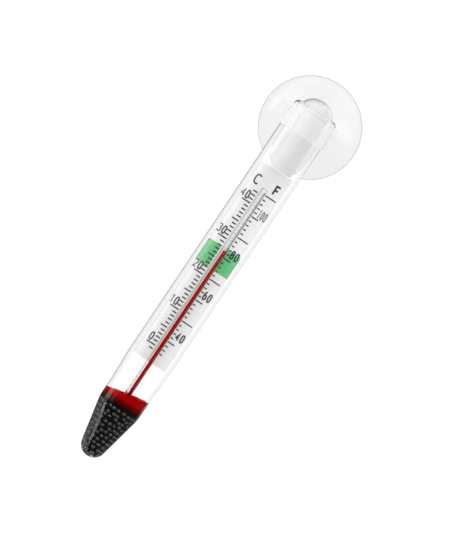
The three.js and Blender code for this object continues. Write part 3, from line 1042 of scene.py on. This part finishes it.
def wax_seal():
    """Wax that wets the glass, with a tilted top that climbs the wall at its edge."""
    reach = WAIST_RADIUS - GLASS_WALL + WAX_IN_GLASS
    rings, sides = 20, ROUND
    shape = bmesh.new()

    def ring(r, height):
        spots = []
        for i in range(sides):
            a = 2 * math.pi * i / sides
            x, y = r * math.cos(a), r * math.sin(a)
            spots.append(shape.verts.new((x, TUBE_Y + y, height(x, r))))
        return spots

    def top(x, r):
        climb = WAX_CLIMB * (r / reach) ** WAX_CLIMB_POWER
        wave = WAX_WAVE * math.sin(WAX_WAVE_ACROSS * x + WAX_WAVE_OUTWARDS * r)
        return WAX_TOP + WAX_SLOPE * x + climb + wave

    rows = [ring(reach * (i + 1) / rings, top) for i in range(rings)]
    rows.append(ring(reach, lambda x, r: WAX_BOTTOM))
    rows.append(ring(reach * 0.4, lambda x, r: WAX_BOTTOM))
    for a, b in zip(rows, rows[1:]):
        join_rings(shape, a, b)
    shape.faces.new(rows[0])
    shape.faces.new(rows[-1])
    mesh = mesh_of("wax_seal", shape)
    finish_piece("wax_seal", mesh, wax_material(), "tube", ("wax_plug",))


def shot_rows():
    """[radius, height] of each row of balls, evenly spaced down the cone and round the tip."""
    inset = GLASS_WALL + SHOT_RADIUS
    tip = TIP_RADIUS - inset
    centre = TIP_BOTTOM + TIP_RADIUS
    foot_z = centre - tip * math.sin(CONE_HALF_ANGLE)
    foot = tip * math.cos(CONE_HALF_ANGLE)
    cone = (SHOT_TOP - foot_z) / math.cos(CONE_HALF_ANGLE)
    whole = cone + tip * (math.pi / 2 - CONE_HALF_ANGLE)
    rows = []
    for row in range(SHOT_ROWS):
        gone = whole * row / (SHOT_ROWS - 1)
        if gone < cone:
            r = foot + (cone - gone) * math.sin(CONE_HALF_ANGLE)
            z = foot_z + (cone - gone) * math.cos(CONE_HALF_ANGLE)
        else:
            angle = CONE_HALF_ANGLE + (gone - cone) / tip
            r, z = abs(tip * math.cos(angle)), centre - tip * math.sin(angle)
        rows.append((r, z))
    return rows


def shot_places():
    """Centres and radii of the balls that lie against the glass, a little uneven."""
    rng = random.Random(SHOT_SEED)
    places = []
    for r, z in shot_rows():
        count = max(1, int(2 * math.pi * r / (SHOT_PITCH * SHOT_RADIUS)))
        first = rng.random()
        for i in range(count):
            a = 2 * math.pi * (i + first + rng.uniform(-SHOT_ASIDE, SHOT_ASIDE)) / count
            near = r * (count > 1) - rng.uniform(0, SHOT_INWARDS)
            size = SHOT_RADIUS * rng.uniform(*SHOT_SIZES)
            height = z + rng.uniform(-SHOT_UPWARDS, SHOT_UPWARDS)
            places.append((near * math.cos(a), near * math.sin(a), height, size))
    return places


def ballast_shot():
    """The rows of balls that are seen through the glass, as one piece."""
    shape = bmesh.new()
    for x, y, z, size in shot_places():
        place = Matrix.Translation((x, TUBE_Y + y, z))
        bmesh.ops.create_icosphere(shape, subdivisions=3, radius=size, matrix=place)
    mesh = mesh_of("ballast_shot", shape)
    rows = [f"shot_row_{row + 1:02d}" for row in range(SHOT_ROWS)]
    finish_piece("ballast_shot", mesh, shot_material(), "tube", rows)


def ballast_glue():
    """The glue between and behind the balls, up into the wax."""
    side = [p for p in envelope_side(GLASS_WALL + SHOT_RADIUS * GLUE_DEPTH) if p[1] < GLUE_TOP]
    profile = side + [(side[-1][0], GLUE_TOP), (0, GLUE_TOP)]
    shape = bmesh.new()
    lathe(shape, profile, MIDDLING_ROUND, centre=(0, TUBE_Y))
    mesh = mesh_of("ballast_glue", shape)
    finish_piece("ballast_glue", mesh, glue_material(), "tube")


def dress_hidden_nodes():
    """The pieces sealed inside keep their CAD shape."""
    for name, material in (
        ("bulb", glass_material()),
        ("spirit_reservoir", spirit_material()),
        ("shot_core", shot_material()),
    ):
        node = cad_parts[name]
        node.data.materials.clear()
        node.data.materials.append(material)


bpy.context.scene.view_settings.view_transform = "Standard"
make_camera()
make_world()
make_floor()
make_lights()
suction_cup()
collar()
glass_envelope()
scale_card()
comfort_band()
scale_ticks()
scale_figures()
capillary()
spirit_column()
spacer_plug()
wax_seal()
ballast_shot()
ballast_glue()
dress_hidden_nodes()
